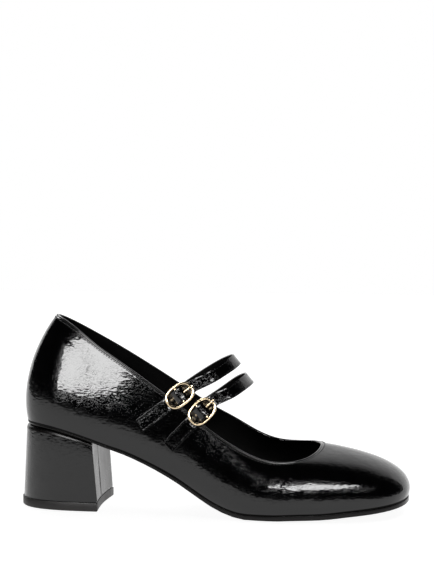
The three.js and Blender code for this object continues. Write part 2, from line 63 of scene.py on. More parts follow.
def colour(name, description, rgb):
    return bpy.props.FloatVectorProperty(
        name=name, description=description, default=rgb, subtype="COLOR", size=3, min=0.0, max=1.0)


class ShoeUpperSizes(bpy.types.PropertyGroup):
    wall: length("Wall", "Leather and lining together", 1.6)
    bead: length("Bead", "Height of the rolled edge along the topline", 1.3)
    groove: length("Groove", "Depth of the groove under the rolled edge", 0.2)
    stitch_line: length("Stitch line", "Distance of the topline stitches from the edge", 2.4)
    stitch: length("Stitch", "Pitch of the stitches", 1.9)
    ripple: length("Ripple", "Height of the soft unevenness of the pulled leather", 0.05)


class ShoeStrapSizes(bpy.types.PropertyGroup):
    width: length("Width", "Width of a strap", 7.5)
    thick: length("Thickness", "Two layers together", 1.4)
    chape_width: length("Chape width", "Width of a buckle's loop", 8.2)
    chape_thick: length("Chape thickness", "Thickness of a buckle's loop", 0.9)
    hole: length("Hole", "Radius of a punched hole", 0.8)
    stitch: length("Stitch", "Pitch of the stitches", 1.7)


class ShoeBuckleSizes(bpy.types.PropertyGroup):
    long: length("Length", "Outside length of a buckle", 18.4)
    wide: length("Width", "Outside width of a buckle", 13.2)
    wire: length("Wire", "Radius of the ring's wire", 0.85)
    bar: length("Bar", "Radius of the centre bar", 0.7)
    prong: length("Prong", "Radius of the prong", 0.45)


class ShoeFinish(bpy.types.PropertyGroup):
    patent: colour("Patent", "Colour of the patent leather", (0.0007, 0.0007, 0.0008))
    lining: colour("Lining", "Colour of the lining", (0.0022, 0.0021, 0.0021))
    sole: colour("Sole", "Colour of the outsole", (0.006, 0.0052, 0.005))
    lift: colour("Top piece", "Colour of the top piece", (0.0125, 0.0108, 0.0105))
    breast: colour("Breast", "Colour of the satin cover on the heel's front", (0.0095, 0.0075, 0.0065))
    metal: colour("Metal", "Colour of the buckles", (0.80, 0.64, 0.42))
    thread: colour("Thread", "Colour of the stitches", (0.006, 0.006, 0.006))


# ---- modelling helpers ----
def only(obj):
    """Makes obj the one selected and active object."""
    bpy.ops.object.select_all(action="DESELECT")
    obj.select_set(True)
    bpy.context.view_layer.objects.active = obj


def edit(obj):
    """Opens obj in edit mode with nothing selected."""
    only(obj)
    bpy.ops.object.mode_set(mode="EDIT")
    bpy.ops.mesh.select_all(action="DESELECT")


def edit_all(obj):
    """Opens obj in edit mode with everything selected."""
    edit(obj)
    bpy.ops.mesh.select_all(action="SELECT")


def leave():
    bpy.ops.object.mode_set(mode="OBJECT")


def named(name):
    obj = bpy.context.active_object
    obj.name = name
    obj.data.name = name
    return obj


def apply(obj, kind, **settings):
    """Adds one modifier with its settings and applies it."""
    only(obj)
    modifier = obj.modifiers.new(kind.title(), kind)
    for key, value in settings.items():
        setattr(modifier, key, value)
    bpy.ops.object.modifier_apply(modifier=modifier.name)


def smooth(obj, degrees=40):
    only(obj)
    bpy.ops.object.shade_smooth_by_angle(angle=math.radians(degrees))


def settle(obj):
    """Merges doubles and turns a closed shell's faces outward."""
    edit_all(obj)
    bpy.ops.mesh.remove_doubles(threshold=MERGE)
    bpy.ops.mesh.normals_make_consistent(inside=False)
    leave()


def flip(obj):
    edit_all(obj)
    bpy.ops.mesh.flip_normals()
    leave()


def put(obj, points):
    """Moves a primitive's corners to their places, in order."""
    places = np.asarray(points, dtype=np.float32).reshape(-1, 3)
    if len(places) != len(obj.data.vertices):
        raise ValueError(f"{obj.name}: {len(places)} places for {len(obj.data.vertices)} corners")
    obj.data.vertices.foreach_set("co", places.ravel())
    obj.data.update()


def sheet(name, rows):
    """A grid of corners laid on rows of places, as one open sheet."""
    rows = np.asarray(rows)
    bpy.ops.mesh.primitive_grid_add(x_subdivisions=rows.shape[1] - 1, y_subdivisions=rows.shape[0] - 1)
    obj = named(name)
    put(obj, rows)
    return obj


def copy_node(node, name):
    """A merged copy of a frame node, for finishing."""
    bpy.ops.object.select_all(action="DESELECT")
    source = NODES[node]
    source.select_set(True)
    bpy.context.view_layer.objects.active = source
    bpy.ops.object.duplicate()
    obj = named(name)
    obj.data.materials.clear()
    for key in list(obj.keys()):
        del obj[key]
    edit_all(obj)
    bpy.ops.mesh.remove_doubles(threshold=MERGE)
    bpy.ops.mesh.customdata_custom_splitnormals_clear()
    leave()
    return obj


def finish(obj, material, slot, *nodes):
    """Gives a piece its material and its body, and hides the nodes that it stands for. The slot is not used.
    """
    obj.data.materials.clear()
    obj.data.materials.append(material)
    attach(obj, "root")
    if nodes:
        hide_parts(*nodes)


def joined(parts, name):
    bpy.ops.object.select_all(action="DESELECT")
    for part in parts:
        part.select_set(True)
    bpy.context.view_layer.objects.active = parts[0]
    bpy.ops.object.join()
    return named(name)


# ---- curves ----
def unit(vectors):
    return vectors / np.linalg.norm(vectors, axis=-1, keepdims=True)


def between(at, marks, values):
    """Values known at marks, read off at the places at, column by column."""
    return np.stack([np.interp(at, marks, column) for column in np.transpose(values)], axis=1)


def running_length(points):
    return np.concatenate([[0.0], np.cumsum(np.linalg.norm(np.diff(points, axis=0), axis=1))])


def spline_bend(knots, values):
    """How strongly a smooth line through values bends at each knot."""
    n = len(knots)
    h = np.diff(knots)
    system = np.zeros((n, n))
    system[0, 0] = system[-1, -1] = 1.0
    right = np.zeros_like(values)
    for i in range(1, n - 1):
        system[i, i - 1:i + 2] = h[i - 1], 2 * (h[i - 1] + h[i]), h[i]
        right[i] = 6 * ((values[i + 1] - values[i]) / h[i] - (values[i] - values[i - 1]) / h[i - 1])
    return np.linalg.solve(system, right.reshape(n, -1)).reshape(values.shape)


def smooth_line(points, count):
    """count points and directions on a smooth line through the given points, and its length."""
    points = np.asarray(points, dtype=float)
    gaps = np.linalg.norm(np.diff(points, axis=0), axis=1) ** 0.5
    at = np.concatenate([[0.0], np.cumsum(gaps)])
    n = len(points)
    bend = spline_bend(at, points)

    def place(u):
        i = np.clip(np.searchsorted(at, u, side="right") - 1, 0, n - 2)
        h = (at[i + 1] - at[i])[:, None]
        a, b = (at[i + 1] - u)[:, None], (u - at[i])[:, None]
        ends = (bend[i] * a ** 3 + bend[i + 1] * b ** 3) / (6 * h)
        return (ends + (points[i] / h - bend[i] * h / 6) * a
                + (points[i + 1] / h - bend[i + 1] * h / 6) * b)

    fine = np.linspace(0, at[-1], 40 * n)
    run = running_length(place(fine))
    line = place(np.interp(np.linspace(0, run[-1], count), run, fine))
    return line, unit(np.gradient(line, axis=0)), run[-1]


# ---- the upper's form, read from its node ----
RIB_COUNT = 84
OUTER_RINGS = 15
SHARP = math.radians(50)


def read_rings(obj):
    """The upper's rings of points from the topline down the outer face and back up the inner face."""
    form = bmesh.new()
    form.from_mesh(obj.data)
    bmesh.ops.remove_doubles(form, verts=form.verts, dist=MERGE)
    sharp = [e for e in form.edges if e.is_manifold and e.calc_face_angle() > SHARP]
    links = {}
    for e in sharp:
        for a, b in (e.verts, reversed(e.verts)):
            links.setdefault(a, []).append(b)
    loops, seen = [], set()
    for start in links:
        if start in seen:
            continue
        loop, stack = [], [start]
        while stack:
            v = stack.pop()
            if v not in seen:
                seen.add(v)
                loop.append(v)
                stack.extend(links[v])
        loops.append(loop)
    loops = [loop for loop in loops if len(loop) == RIB_COUNT]
    high = sorted(loops, key=lambda loop: -sum(v.co.z for v in loop) / len(loop))[:2]
    spread = [max(v.co.x for v in loop) - min(v.co.x for v in loop) for loop in high]
    rim = set(high[spread.index(max(spread))])
    back = min(rim, key=lambda v: v.co.x)
    steps = [v for v in links[back] if v in rim]
    ring = [back, min(steps, key=lambda v: v.co.y)]
    while len(ring) < RIB_COUNT:
        ring.append(next(v for v in links[ring[-1]] if v in rim and v not in ring[-3:] and v is not back))
    inner_top = set(high[spread.index(min(spread))])
    rings, used = [ring], set(ring) | inner_top
    while True:
        below = {}
        for i, v in enumerate(rings[-1]):
            for e in v.link_edges:
                w = e.other_vert(v)
                if w not in used:
                    below.setdefault(w, set()).add(i)
        if not below:
            break
        row = [None] * RIB_COUNT
        for w, near in below.items():
            i = next(i for i in near if (i + 1) % RIB_COUNT in near)
            row[i] = w
        rings.append(row)
        used |= set(row)
    points = np.array([[v.co[:] for v in row] for row in rings])
    form.free()
    return points


def cyclic_spline(values, factor):
    """Periodic smooth resampling of values along axis 0, factor points for each given one."""
    n = len(values)
    wave = np.cos(2 * np.pi * np.arange(n) / n)
    shape = (n,) + (1,) * (values.ndim - 1)
    weights = np.fft.ifft(np.fft.fft(values, axis=0) / ((4 + 2 * wave) / 6).reshape(shape), axis=0).real
    out = []
    for part in range(factor):
        f = part / factor
        basis = ((1 - f) ** 3, 3 * f ** 3 - 6 * f ** 2 + 4, -3 * f ** 3 + 3 * f ** 2 + 3 * f + 1, f ** 3)
        out.append(sum(np.roll(weights, 1 - k, axis=0) * b / 6 for k, b in enumerate(basis)))
    return np.stack(out, axis=1).reshape((n * factor,) + values.shape[1:])


def natural_spline(knots, values, at):
    """Smooth interpolation along axis 0. at holds a list of places for each column."""
    h = np.diff(knots)
    bend = spline_bend(knots, values)
    columns = np.arange(values.shape[1])
    out = []
    for u in at:
        i = np.clip(np.searchsorted(knots, u, side="right") - 1, 0, len(h) - 1)
        a, b, w = (knots[i + 1] - u)[:, None], (u - knots[i])[:, None], h[i][:, None]
        low, high = values[i, columns], values[i + 1, columns]
        out.append((bend[i, columns] * a ** 3 + bend[i + 1, columns] * b ** 3) / (6 * w)
                   + (low / w - bend[i, columns] * w / 6) * a + (high / w - bend[i + 1, columns] * w / 6) * b)
    return np.array(out)


# Soft ridges and troughs of the outer face, in mm: middle x and z, half length, half height,
# lean of the long axis in degrees, how far it stands out.
FORMS = {
    "quarter_hollow": (-32, 58, 34, 13, -30, -0.9),
    "topline_flare": (-34, 92, 34, 15, -33, 1.3),
    "flex_crease": (31, 19, 16, 3.0, 62, -0.07),
    "flex_roll": (37, 21, 16, 3.2, 62, 0.06),
    "second_crease": (44, 20, 13, 2.6, 66, -0.05),
    "waist_crease": (-6, 34, 15, 3.0, 52, -0.06),
}


def formed(points):
    """How far the listed ridges and troughs move each point of the outer side outward."""
    out = np.zeros(points.shape[:-1])
    x, y, z = np.moveaxis(points, -1, 0) / MM
    for mid_x, mid_z, long, high, lean, rise in FORMS.values():
        a = math.radians(lean)
        along = ((x - mid_x) * math.cos(a) + (z - mid_z) * math.sin(a)) / long
        over = ((z - mid_z) * math.cos(a) - (x - mid_x) * math.sin(a)) / high
        out += rise * MM * np.exp(-along ** 2 - over ** 2)
    return out * np.clip((-y - 2) / 12, 0, 1)


class Skin:
    """The outer face of the upper as a smooth surface: columns run round it, rows from the topline down."""

    FACTOR = 6

    def __init__(self, node):
        outer = read_rings(node)[:OUTER_RINGS]
        fine = cyclic_spline(np.swapaxes(outer, 0, 1), self.FACTOR)
        self.grid = np.swapaxes(fine, 0, 1)
        self.columns = self.grid.shape[1]
        self.knots = np.linspace(0, 1, len(outer))
        steps = np.linalg.norm(np.diff(self.grid, axis=0), axis=2)
        self.depth = np.concatenate([np.zeros((1, self.columns)), np.cumsum(steps, axis=0)])

    def rows_at(self, distances):
        """Level of the row that lies each distance below the topline, for every column."""
        return np.array([[np.interp(d, self.depth[:, c], self.knots) for c in range(self.columns)]
                         for d in distances])

    def sample(self, levels):
        """Points and outward normals on rows of levels (0 topline, 1 seat)."""
        points = natural_spline(self.knots, self.grid, levels)
        step = 1e-3
        inside = np.clip(levels, step, 1 - step)
        down = natural_spline(self.knots, self.grid, inside + step)
        down -= natural_spline(self.knots, self.grid, inside - step)
        around = np.roll(points, -1, axis=1) - np.roll(points, 1, axis=1)
        normals = unit(np.cross(down, around))
        ends = np.clip((1 - levels) / 0.1, 0, 1)
        points = points + normals * (formed(points) * ends)[..., None]
        return points, normals, unit(down), unit(around)


skin = Skin(NODES["upper"])


# ---- materials ----
def new_group(name, size, outputs):
    """An empty group that takes a Vector and a Size and puts out the named values."""
    group = bpy.data.node_groups.new(name, "ShaderNodeTree")
    group.interface.new_socket("Vector", in_out="INPUT", socket_type="NodeSocketVector")
    socket = group.interface.new_socket("Size", in_out="INPUT", socket_type="NodeSocketFloat")
    socket.default_value = size
    for label in outputs:
        group.interface.new_socket(label, in_out="OUTPUT", socket_type="NodeSocketFloat")
    start = group.nodes.new("NodeGroupInput")
    end = group.nodes.new("NodeGroupOutput")
    return group, start, end


def feed(tree, value, socket):
    """Sets a socket to a number, or links it to another node's socket."""
    if isinstance(value, (int, float)):
        socket.default_value = value
    else:
        tree.links.new(value, socket)


def maths(tree, operation, *values):
    node = tree.nodes.new("ShaderNodeMath")
    node.operation = operation
    for value, socket in zip(values, node.inputs):
        feed(tree, value, socket)
    return node.outputs[0]


def noise_node(tree, vector, scale, detail=2.0, rough=0.5, distortion=0.0):
    node = tree.nodes.new("ShaderNodeTexNoise")
    node.inputs["Detail"].default_value = detail
    node.inputs["Roughness"].default_value = rough
    node.inputs["Distortion"].default_value = distortion
    tree.links.new(vector, node.inputs["Vector"])
    feed(tree, scale, node.inputs["Scale"])
    return node


def make_crinkle_group():
    """Short wavy creases of crinkled patent, with a slower swell under them."""
    lean, stretch = math.radians(38), (0.42, 0.8, 1.0)
    crease_steepness, crease_top, crease_share = 12.0, 0.3, 0.6
    pebble_scale, pebble_share = 0.8, 0.8
    swell_scale, swell_share = 0.16, 3.0
    group, start, end = new_group("Crinkle", 0.001, ("Height", "Mask"))
    vector = start.outputs["Vector"]
    frequency = maths(group, "DIVIDE", 1.0, start.outputs["Size"])
    drawn = group.nodes.new("ShaderNodeMapping")
    drawn.inputs["Rotation"].default_value = (0.0, lean, 0.0)
    drawn.inputs["Scale"].default_value = stretch
    group.links.new(vector, drawn.inputs["Vector"])
    creases = noise_node(group, drawn.outputs[0], frequency, detail=2.0, rough=0.55, distortion=0.9)
    folded = maths(group, "ABSOLUTE", maths(group, "SUBTRACT", creases.outputs["Fac"], 0.5))
    valley = maths(group, "SMOOTH_MIN", maths(group, "MULTIPLY", folded, crease_steepness), crease_top, 0.15)
    cells = group.nodes.new("ShaderNodeTexVoronoi")
    cells.feature = "SMOOTH_F1"
    cells.inputs["Smoothness"].default_value = 0.6
    group.links.new(drawn.outputs[0], cells.inputs["Vector"])
    group.links.new(maths(group, "MULTIPLY", frequency, pebble_scale), cells.inputs["Scale"])
    slow = noise_node(group, vector, maths(group, "MULTIPLY", frequency, swell_scale), detail=1.0)
    pebble = maths(group, "MULTIPLY", cells.outputs["Distance"], pebble_share)
    fine = maths(group, "ADD", maths(group, "MULTIPLY", valley, crease_share), pebble)
    swell = maths(group, "MULTIPLY", slow.outputs["Fac"], swell_share)
    group.links.new(maths(group, "ADD", fine, swell), end.inputs["Height"])
    group.links.new(slow.outputs["Fac"], end.inputs["Mask"])
    return group


def make_grain_group():
    """Fine even grain for lining, rubber and board, with a soft cloudiness."""
    cloud_scale, dust_scale = 90.0, 0.6
    group, start, end = new_group("Grain", 0.0005, ("Height", "Cloud"))
    vector = start.outputs["Vector"]
    frequency = maths(group, "DIVIDE", 1.0, start.outputs["Size"])
    pores = group.nodes.new("ShaderNodeTexVoronoi")
    pores.feature = "F1"
    group.links.new(vector, pores.inputs["Vector"])
    group.links.new(frequency, pores.inputs["Scale"])
    dust = noise_node(group, vector, maths(group, "MULTIPLY", frequency, dust_scale), detail=3.0)
    cloud = noise_node(group, vector, cloud_scale)
    grain = maths(group, "ADD", pores.outputs["Distance"], dust.outputs["Fac"])
    group.links.new(grain, end.inputs["Height"])
    group.links.new(cloud.outputs["Fac"], end.inputs["Cloud"])
    return group


def material_base(name, rgb, roughness):
    material = bpy.data.materials.new(name)
    material.use_nodes = True
    tree = material.node_tree
    shader = tree.nodes["Principled BSDF"]
    shader.inputs["Base Color"].default_value = (*rgb, 1.0)
    shader.inputs["Roughness"].default_value = roughness
    place = tree.nodes.new("ShaderNodeTexCoord")
    return material, tree, shader, place


def place_group(tree, group, vector, size):
    node = tree.nodes.new("ShaderNodeGroup")
    node.node_tree = group
    tree.links.new(vector, node.inputs["Vector"])
    node.inputs["Size"].default_value = size
    return node


def bump(tree, shader, height, distance):
    node = tree.nodes.new("ShaderNodeBump")
    node.inputs["Distance"].default_value = distance
    node.inputs["Strength"].default_value = 1.0
    tree.links.new(height, node.inputs["Height"])
    tree.links.new(node.outputs[0], shader.inputs["Normal"])


def mix_colour(tree, shader, factor, rgb, lighter):
    node = tree.nodes.new("ShaderNodeMix")
    node.data_type = "RGBA"
    node.inputs["A"].default_value = (*rgb, 1.0)
    node.inputs["B"].default_value = (*(lighter * c for c in rgb), 1.0)
    tree.links.new(factor, node.inputs["Factor"])
    tree.links.new(node.outputs["Result"], shader.inputs["Base Color"])


def ranged(tree, value, low, high, start=0.3, stop=0.7):
    node = tree.nodes.new("ShaderNodeMapRange")
    tree.links.new(value, node.inputs["Value"])
    for label, number in (("From Min", start), ("From Max", stop), ("To Min", low), ("To Max", high)):
        node.inputs[label].default_value = number
    return node.outputs["Result"]


# Crinkled patent finishes: name, then depth and size of the crinkle, in metres.
PATENT = {
    "patent": ("crinkled_patent", 0.000042, 0.0010),
    "strap": ("strap_patent", 0.00007, 0.0012),
    "chape": ("chape_patent", 0.00005, 0.0010),
    "heel": ("heel_patent", 0.00006, 0.0011),
}
PATENT_ROUGHNESS = 0.045
PATENT_IOR = 1.5
CRINKLE_AT_ENDS = 1.2  # how much deeper the crinkle runs at the toe and the back
MIDDLE, ENDS = 0.03, 0.07  # where that starts and is full, either way from the shoe's middle

# Grained finishes: name, colour, size and depth of the grain in metres, roughness, shine.
GRAINED = {
    "lining": ("black_lining", "lining", 0.0005, 0.00002, 0.6, 0.06),
    "sock": ("black_sock", "lining", 0.0006, 0.00003, 0.5, 0.08),
    "sole": ("sole_rubber", "sole", 0.0008, 0.00001, 0.3, 0.2),
    "lift": ("top_piece_rubber", "lift", 0.0006, 0.00002, 0.5, 0.35),
    "breast": ("satin_cover", "breast", 0.0006, 0.00002, 0.3, 0.5),
    "thread": ("waxed_thread", "thread", 0.0002, 0.00001, 0.25, 0.5),
}
MATERIALS = {}


def patent_material(name, rgb, crinkle, depth, size):
    material, tree, shader, place = material_base(name, rgb, PATENT_ROUGHNESS)
    shader.inputs["IOR"].default_value = PATENT_IOR
    node = place_group(tree, crinkle, place.outputs["Object"], size)
    split = tree.nodes.new("ShaderNodeSeparateXYZ")
    tree.links.new(place.outputs["Object"], split.inputs[0])
    from_middle = maths(tree, "ABSOLUTE", split.outputs["X"])
    deeper = ranged(tree, from_middle, 1.0, CRINKLE_AT_ENDS, MIDDLE, ENDS)
    bump(tree, shader, maths(tree, "MULTIPLY", node.outputs["Height"], deeper), depth)
    tree.links.new(ranged(tree, node.outputs["Mask"], PATENT_ROUGHNESS * 0.8, PATENT_ROUGHNESS * 1.3),
                   shader.inputs["Roughness"])
    mix_colour(tree, shader, ranged(tree, node.outputs["Mask"], 0.0, 1.0), rgb, lighter=3.0)
    return material


def grained_material(name, rgb, grain, size, depth, roughness, shine):
    material, tree, shader, place = material_base(name, rgb, roughness)
    shader.inputs["Specular IOR Level"].default_value = shine
    node = place_group(tree, grain, place.outputs["Object"], size)
    bump(tree, shader, node.outputs["Height"], depth)
    tree.links.new(ranged(tree, node.outputs["Cloud"], roughness * 0.85, roughness * 1.1),
                   shader.inputs["Roughness"])
    mix_colour(tree, shader, ranged(tree, node.outputs["Cloud"], 0.0, 1.0), rgb, lighter=1.6)
    return material


def metal_material(name, rgb, grain):
    smoothest, dullest, grain_size, grain_depth = 0.09, 0.14, 0.0009, 0.000002
    material, tree, shader, place = material_base(name, rgb, 0.08)
    shader.inputs["Metallic"].default_value = 1.0
    node = place_group(tree, grain, place.outputs["Object"], grain_size)
    bump(tree, shader, node.outputs["Height"], grain_depth)
    tree.links.new(ranged(tree, node.outputs["Cloud"], smoothest, dullest), shader.inputs["Roughness"])
    return material


class SHOE_OT_materials(bpy.types.Operator):
    """Makes the leather, lining, rubber, metal and thread finishes"""
    bl_idname = "shoe.materials"
    bl_label = "Materials"

    def execute(self, context):
        tint = context.scene.shoe_finish
        crinkle, grain = make_crinkle_group(), make_grain_group()
        for key, (name, depth, size) in PATENT.items():
            MATERIALS[key] = patent_material(name, tint.patent, crinkle, depth, size)
        for key, (name, shade, *rest) in GRAINED.items():
            MATERIALS[key] = grained_material(name, getattr(tint, shade), grain, *rest)
        MATERIALS["metal"] = metal_material("pale_gold", tint.metal, grain)
        return {"FINISHED"}


# ---- stage ----
CAMERA_PLACE = (0.13466, -0.96862, 0.2116)
CAMERA_TURN = math.radians(7.798)
CAMERA_DIP = math.radians(4.514)
CAMERA_LENS = 99.81


# Upright glowing shapes that only gloss mirrors, two before the outer side and one behind the shoe:
# where each stands in y, then its corners as x and z, in metres. They suit this camera's place.
SOFTBOXES = {
    "counter_softbox": (-0.20, [(-0.19, 0.100), (-0.13, 0.098), (-0.105, 0.101), (-0.085, 0.108),
                                (-0.071, 0.125), (-0.069, 0.20), (-0.10, 0.215), (-0.19, 0.215)]),
    "vamp_softbox": (-0.40, [(-0.02, 0.165), (0.10, 0.15), (0.20, 0.19), (0.30, 0.265), (0.36, 0.34),
                             (0.52, 0.60), (0.36, 0.48), (0.30, 0.42), (0.20, 0.32), (0.10, 0.26)]),
    "rear_softbox": (1.3, [(-1.85, 1.4), (-0.6, 1.4), (-0.6, 2.4), (-1.85, 2.4)]),
}
SOFTBOX_RADIANCE = 17.0
WHITE = (1.0, 1.0, 1.0, 1.0)
STUDIO_DARK = (0.01, 0.01, 0.011, 1.0)


class SHOE_OT_stage(bpy.types.Operator):
    """Sets the pale floor, the bright sweep behind it, the softboxes and the camera"""
    bl_idname = "shoe.stage"
    bl_label = "Stage"

    def execute(self, context):
        scene = context.scene
        scene.view_settings.view_transform = "Standard"
        self.world(scene)
        self.floor()
        self.backdrop()
        for name, (front, corners) in SOFTBOXES.items():
            self.softbox(name, front, corners)
        self.top_light(scene)
        camera = bpy.data.objects.new("camera", bpy.data.cameras.new("camera"))
        scene.collection.objects.link(camera)
        camera.location = CAMERA_PLACE
        camera.rotation_euler = (math.pi / 2 - CAMERA_DIP, 0, CAMERA_TURN)
        camera.data.lens = CAMERA_LENS
        camera.data.sensor_width = 36.0
        scene.camera = camera
        return {"FINISHED"}

    @staticmethod
    def world(scene):
        """A dark studio that the camera sees as white."""
        world = bpy.data.worlds.new("studio")
        world.use_nodes = True
        scene.world = world
        tree = world.node_tree
        rays = tree.nodes.new("ShaderNodeLightPath")
        mix = tree.nodes.new("ShaderNodeMix")
        mix.data_type = "RGBA"
        mix.inputs["A"].default_value = STUDIO_DARK
        mix.inputs["B"].default_value = WHITE
        tree.links.new(rays.outputs["Is Camera Ray"], mix.inputs["Factor"])
        tree.links.new(mix.outputs["Result"], tree.nodes["Background"].inputs["Color"])

    @staticmethod
    def glowing(name, seen, mirrored, axis, start, stop, diffuse=0.0):
        """A stage finish: how bright the camera sees it, and how bright gloss mirrors it."""
        material, tree, shader, place = material_base(name, (diffuse,) * 3, 1.0)
        shader.inputs["Specular IOR Level"].default_value = 0.0
        shader.inputs["Emission Color"].default_value = WHITE
        rays = tree.nodes.new("ShaderNodeLightPath")
        mix = tree.nodes.new("ShaderNodeMix")
        mix.inputs["B"].default_value = seen
        tree.links.new(rays.outputs["Is Camera Ray"], mix.inputs["Factor"])
        axes = tree.nodes.new("ShaderNodeSeparateXYZ")
        tree.links.new(place.outputs["Object"], axes.inputs[0])
        tree.links.new(ranged(tree, axes.outputs[axis], 0.02, mirrored, start, stop), mix.inputs["A"])
        tree.links.new(mix.outputs["Result"], shader.inputs["Emission Strength"])
        return material

    def floor(self):
        bpy.ops.mesh.primitive_plane_add(size=1.0)
        floor = named("floor")
        put(floor, [(-1.6, -1.6, 0), (1.8, -1.6, 0), (-1.6, 1.6, 0), (1.8, 1.6, 0)])
        floor.data.materials.append(self.glowing("pale_floor", 0.93, 1.0, "Y", -0.75, -0.5, diffuse=0.5))

    def backdrop(self):
        bpy.ops.mesh.primitive_plane_add(size=1.0)
        wall = named("backdrop")
        put(wall, [(-2.2, 1.6, 0), (2.2, 1.6, 0), (-2.2, 1.6, 3.8), (2.2, 1.6, 3.8)])
        wall.data.materials.append(self.glowing("bright_sweep", 1.0, 1.3, "Z", 3.6, 0.9))

    @staticmethod
    def softbox(name, front, corners):
        bpy.ops.mesh.primitive_circle_add(vertices=len(corners), fill_type="NGON")
        obj = named(name)
        put(obj, [(x, front, z) for x, z in corners])
        material, _, shader, _ = material_base(name + "_cloth", (0.0, 0.0, 0.0), 1.0)
        shader.inputs["Emission Color"].default_value = WHITE
        shader.inputs["Emission Strength"].default_value = SOFTBOX_RADIANCE
        obj.data.materials.append(material)
        obj.visible_camera = False
        obj.visible_diffuse = False
        obj.visible_shadow = False

    @staticmethod
    def top_light(scene):
        lamp = bpy.data.lights.new("top_light", "AREA")
        lamp.shape = "RECTANGLE"
        lamp.size, lamp.size_y = 1.6, 1.2
        lamp.energy = 6.0
        obj = bpy.data.objects.new("top_light", lamp)
        scene.collection.objects.link(obj)
        obj.location = (0.2, 0.3, 1.8)
        obj.visible_glossy = False


# ---- upper ----
def bead_profile(distance, bead, groove, stitch_line):
    """How far the leather stands out at each distance below the topline."""
    hump = 0.1 * MM * np.sin(np.pi * np.clip(distance / bead, 0, 1)) ** 0.7
    dip = -groove * np.exp(-((distance - bead - 0.12 * MM) / (0.2 * MM)) ** 2)
    pull = -0.05 * MM * np.exp(-((distance - stitch_line) / (0.45 * MM)) ** 2)
    return hump + dip + pull


def ripple(points, height):
    """Soft unevenness of leather pulled over the last."""
    out = np.zeros(points.shape[:-1])
    flat = points.reshape(-1, 3)
    for wave, share in ((0.016, 1.0), (0.007, 0.45)):
        values = [noise.noise(Vector(p) / wave, noise_basis="PERLIN_ORIGINAL") for p in flat]
        out += share * np.array(values).reshape(out.shape)
    return out * height


# Rows of the upper's outer face: these distances below the topline in mm, then even ones to the seat.
EDGE_ROWS = [0.75, 0.95, 1.1, 1.25, 1.35, 1.45, 1.6, 1.8, 2.05, 2.3, 2.6, 3.0, 3.6, 4.4]
LOWER_ROWS = 43
INNER_ROWS = [0, 6, 10, 13, 18, 24, 30, 36, 42, 48, len(EDGE_ROWS) + LOWER_ROWS - 1]
RIM_DROP = 0.86  # height of the rolled rim against its half width
TURNED_ROWS = 4  # the last rows, which turn under and take the lining's finish


class SHOE_OT_upper(bpy.types.Operator):
    """Shapes the leather upper with its rolled topline, its groove and its lining"""
    bl_idname = "shoe.upper"
    bl_label = "Upper"

    def execute(self, context):
        sizes = context.scene.shoe_upper
        near = skin.rows_at(np.array(EDGE_ROWS) * MM)
        share = np.linspace(0, 1, LOWER_ROWS + 1)[1:]
        levels = np.concatenate([near, near[-1] + (1 - near[-1]) * share[:, None]])
        points, normals, down, _ = skin.sample(levels)
        depth = np.array([[np.interp(level, skin.knots, skin.depth[:, c]) for c, level in enumerate(row)]
                          for row in levels])
        out = bead_profile(depth, sizes.bead, sizes.groove, sizes.stitch_line)
        fade = np.clip((depth - 3 * MM) / (8 * MM), 0, 1)
        out += ripple(points, sizes.ripple) * fade * fade * (3 - 2 * fade)
        outer = points + normals * out[..., None]

        middle = points[0] - normals[0] * sizes.wall / 2
        radius = sizes.wall / 2 + out[0][:, None]
        rim = [middle + normals[0] * radius * math.cos(a) - down[0] * radius * RIM_DROP * math.sin(a)
               for a in np.radians(np.arange(165, -1, -15))]
        inner = points[INNER_ROWS] - normals[INNER_ROWS] * sizes.wall
        tuck = [outer[-1] - normals[-1] * inset * MM + down[-1] * 0.15 * MM for inset in (0.35, 0.9)]
        section = [*rim, *outer[1:], *tuck, *inner[::-1]]
        self.build(section, len(rim) + len(outer) - 1 + len(tuck) - TURNED_ROWS)
        return {"FINISHED"}

    @staticmethod
    def build(section, first_lined):
        closed = np.array([*section, section[0]])
        closed = np.concatenate([closed, closed[:, :1]], axis=1)
        obj = sheet("upper_leather", closed)
        inside = [0 if 2 <= k // skin.columns < first_lined else 1 for k in range(len(obj.data.polygons))]
        finish(obj, MATERIALS["patent"], "patent_leather", "upper")
        obj.data.materials.append(MATERIALS["lining"])
        obj.data.polygons.foreach_set("material_index", inside)
        settle(obj)
        smooth(obj, 60)


def stitch_row(places, directions, normals, name, long=1.4, thick=0.36):
    """Small sunk stitches, one for each place, joined to one mesh."""
    bpy.ops.mesh.primitive_uv_sphere_add(segments=6, ring_count=5, radius=1.0)
    bead = named("stitch_pattern")
    pattern = np.array([v.co[:] for v in bead.data.vertices])
    faces = [tuple(p.vertices) for p in bead.data.polygons]
    bpy.data.objects.remove(bead)
    sides = unit(np.cross(normals, directions))
    corners, polygons = [], []
    for i, (place, ahead, normal, side) in enumerate(zip(places, directions, normals, sides)):
        body = place + (pattern[:, 2:3] * ahead * long / 2 + pattern[:, 0:1] * side * thick
                        + pattern[:, 1:2] * normal * thick) * MM
        corners.extend(body)
        polygons.extend(tuple(v + i * len(pattern) for v in face) for face in faces)
    mesh = bpy.data.meshes.new(name)
    mesh.from_pydata([tuple(c) for c in corners], [], polygons)
    obj = bpy.data.objects.new(name, mesh)
    bpy.context.scene.collection.objects.link(obj)
    settle(obj)
    smooth(obj, 180)
    return obj


